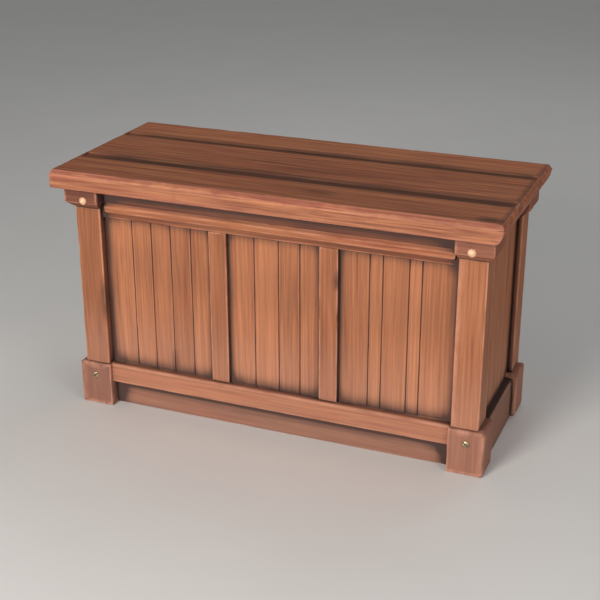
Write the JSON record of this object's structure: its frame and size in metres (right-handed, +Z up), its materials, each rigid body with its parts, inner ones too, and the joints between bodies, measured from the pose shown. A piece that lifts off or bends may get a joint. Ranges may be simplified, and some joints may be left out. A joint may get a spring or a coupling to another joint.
{
  "type": "lidded wooden chest",
  "caption": "Low wooden storage chest with corner posts on block feet, framed board panels and a heavy plank lid hinged at the back.",
  "frame": {"origin": "on the floor under the middle of the lid, midway across and midway front to back", "axes": "+X to the right along the width, +Y from the front to the back, +Z up; the front faces -Y"},
  "size_m": [1.012, 0.45, 0.578],
  "materials": {
    "frame_wood": "oiled, worn",
    "block_wood": "oiled, worn",
    "rail_wood": "oiled, worn",
    "groove_wood": "dark stained",
    "panel_wood": "oiled, worn",
    "lid_wood": "waxed, scuffed",
    "inner_wood": "bare, sawn",
    "bright_brass": "polished",
    "dull_brass": "tarnished",
    "zinc_steel": "zinc plated"
  },
  "bodies": {
    "case": {"back_base_board": "rail_wood", "back_bottom_rail": "rail_wood", "back_floor_ledger": "inner_wood", "back_hinge_rail": "rail_wood", "back_left_capital": "block_wood", "back_left_foot": "block_wood", "back_left_muntin": "frame_wood", "back_left_panel_boards": "panel_wood", "back_left_post": "frame_wood", "back_middle_panel_boards": "panel_wood", "back_right_capital": "block_wood", "back_right_foot": "block_wood", "back_right_muntin": "frame_wood", "back_right_panel_boards": "panel_wood", "back_right_post": "frame_wood", "back_top_rail": "rail_wood", "capital_bolts": "bright_brass", "capital_nuts": "zinc_steel", "capital_washers": "zinc_steel", "floor_boards": "inner_wood", "foot_screws": "dull_brass", "front_base_board": "rail_wood", "front_bottom_rail": "rail_wood", "front_floor_ledger": "inner_wood", "front_left_capital": "block_wood", "front_left_foot": "block_wood", "front_left_muntin": "frame_wood", "front_left_panel_boards": "panel_wood", "front_left_post": "frame_wood", "front_middle_panel_boards": "panel_wood", "front_moulding": "rail_wood", "front_right_capital": "block_wood", "front_right_foot": "block_wood", "front_right_muntin": "frame_wood", "front_right_panel_boards": "panel_wood", "front_right_post": "frame_wood", "front_top_rail": "rail_wood", "hinge_case_leaves": "dull_brass", "hinge_case_screws": "dull_brass", "hinge_pins": "dull_brass", "left_base_board": "rail_wood", "left_inner_cleat": "inner_wood", "left_side_boards": "panel_wood", "right_base_board": "rail_wood", "right_inner_cleat": "inner_wood", "right_side_boards": "panel_wood"},
    "lid": {"hinge_lid_leaves": "dull_brass", "hinge_lid_screws": "dull_brass", "lid_back_plank": "lid_wood", "lid_back_spline": "groove_wood", "lid_batten_screws": "zinc_steel", "lid_front_plank": "lid_wood", "lid_front_spline": "groove_wood", "lid_left_batten": "inner_wood", "lid_middle_batten": "inner_wood", "lid_middle_plank": "lid_wood", "lid_right_batten": "inner_wood"}
  },
  "joints": [
    {"name": "lid_hinge", "type": "hinge", "parent": "case", "child": "lid", "pos_m": [0, 0.2055, 0.5305], "axis": [-1, 0, 0], "range_deg": [0, 105]}
  ]
}
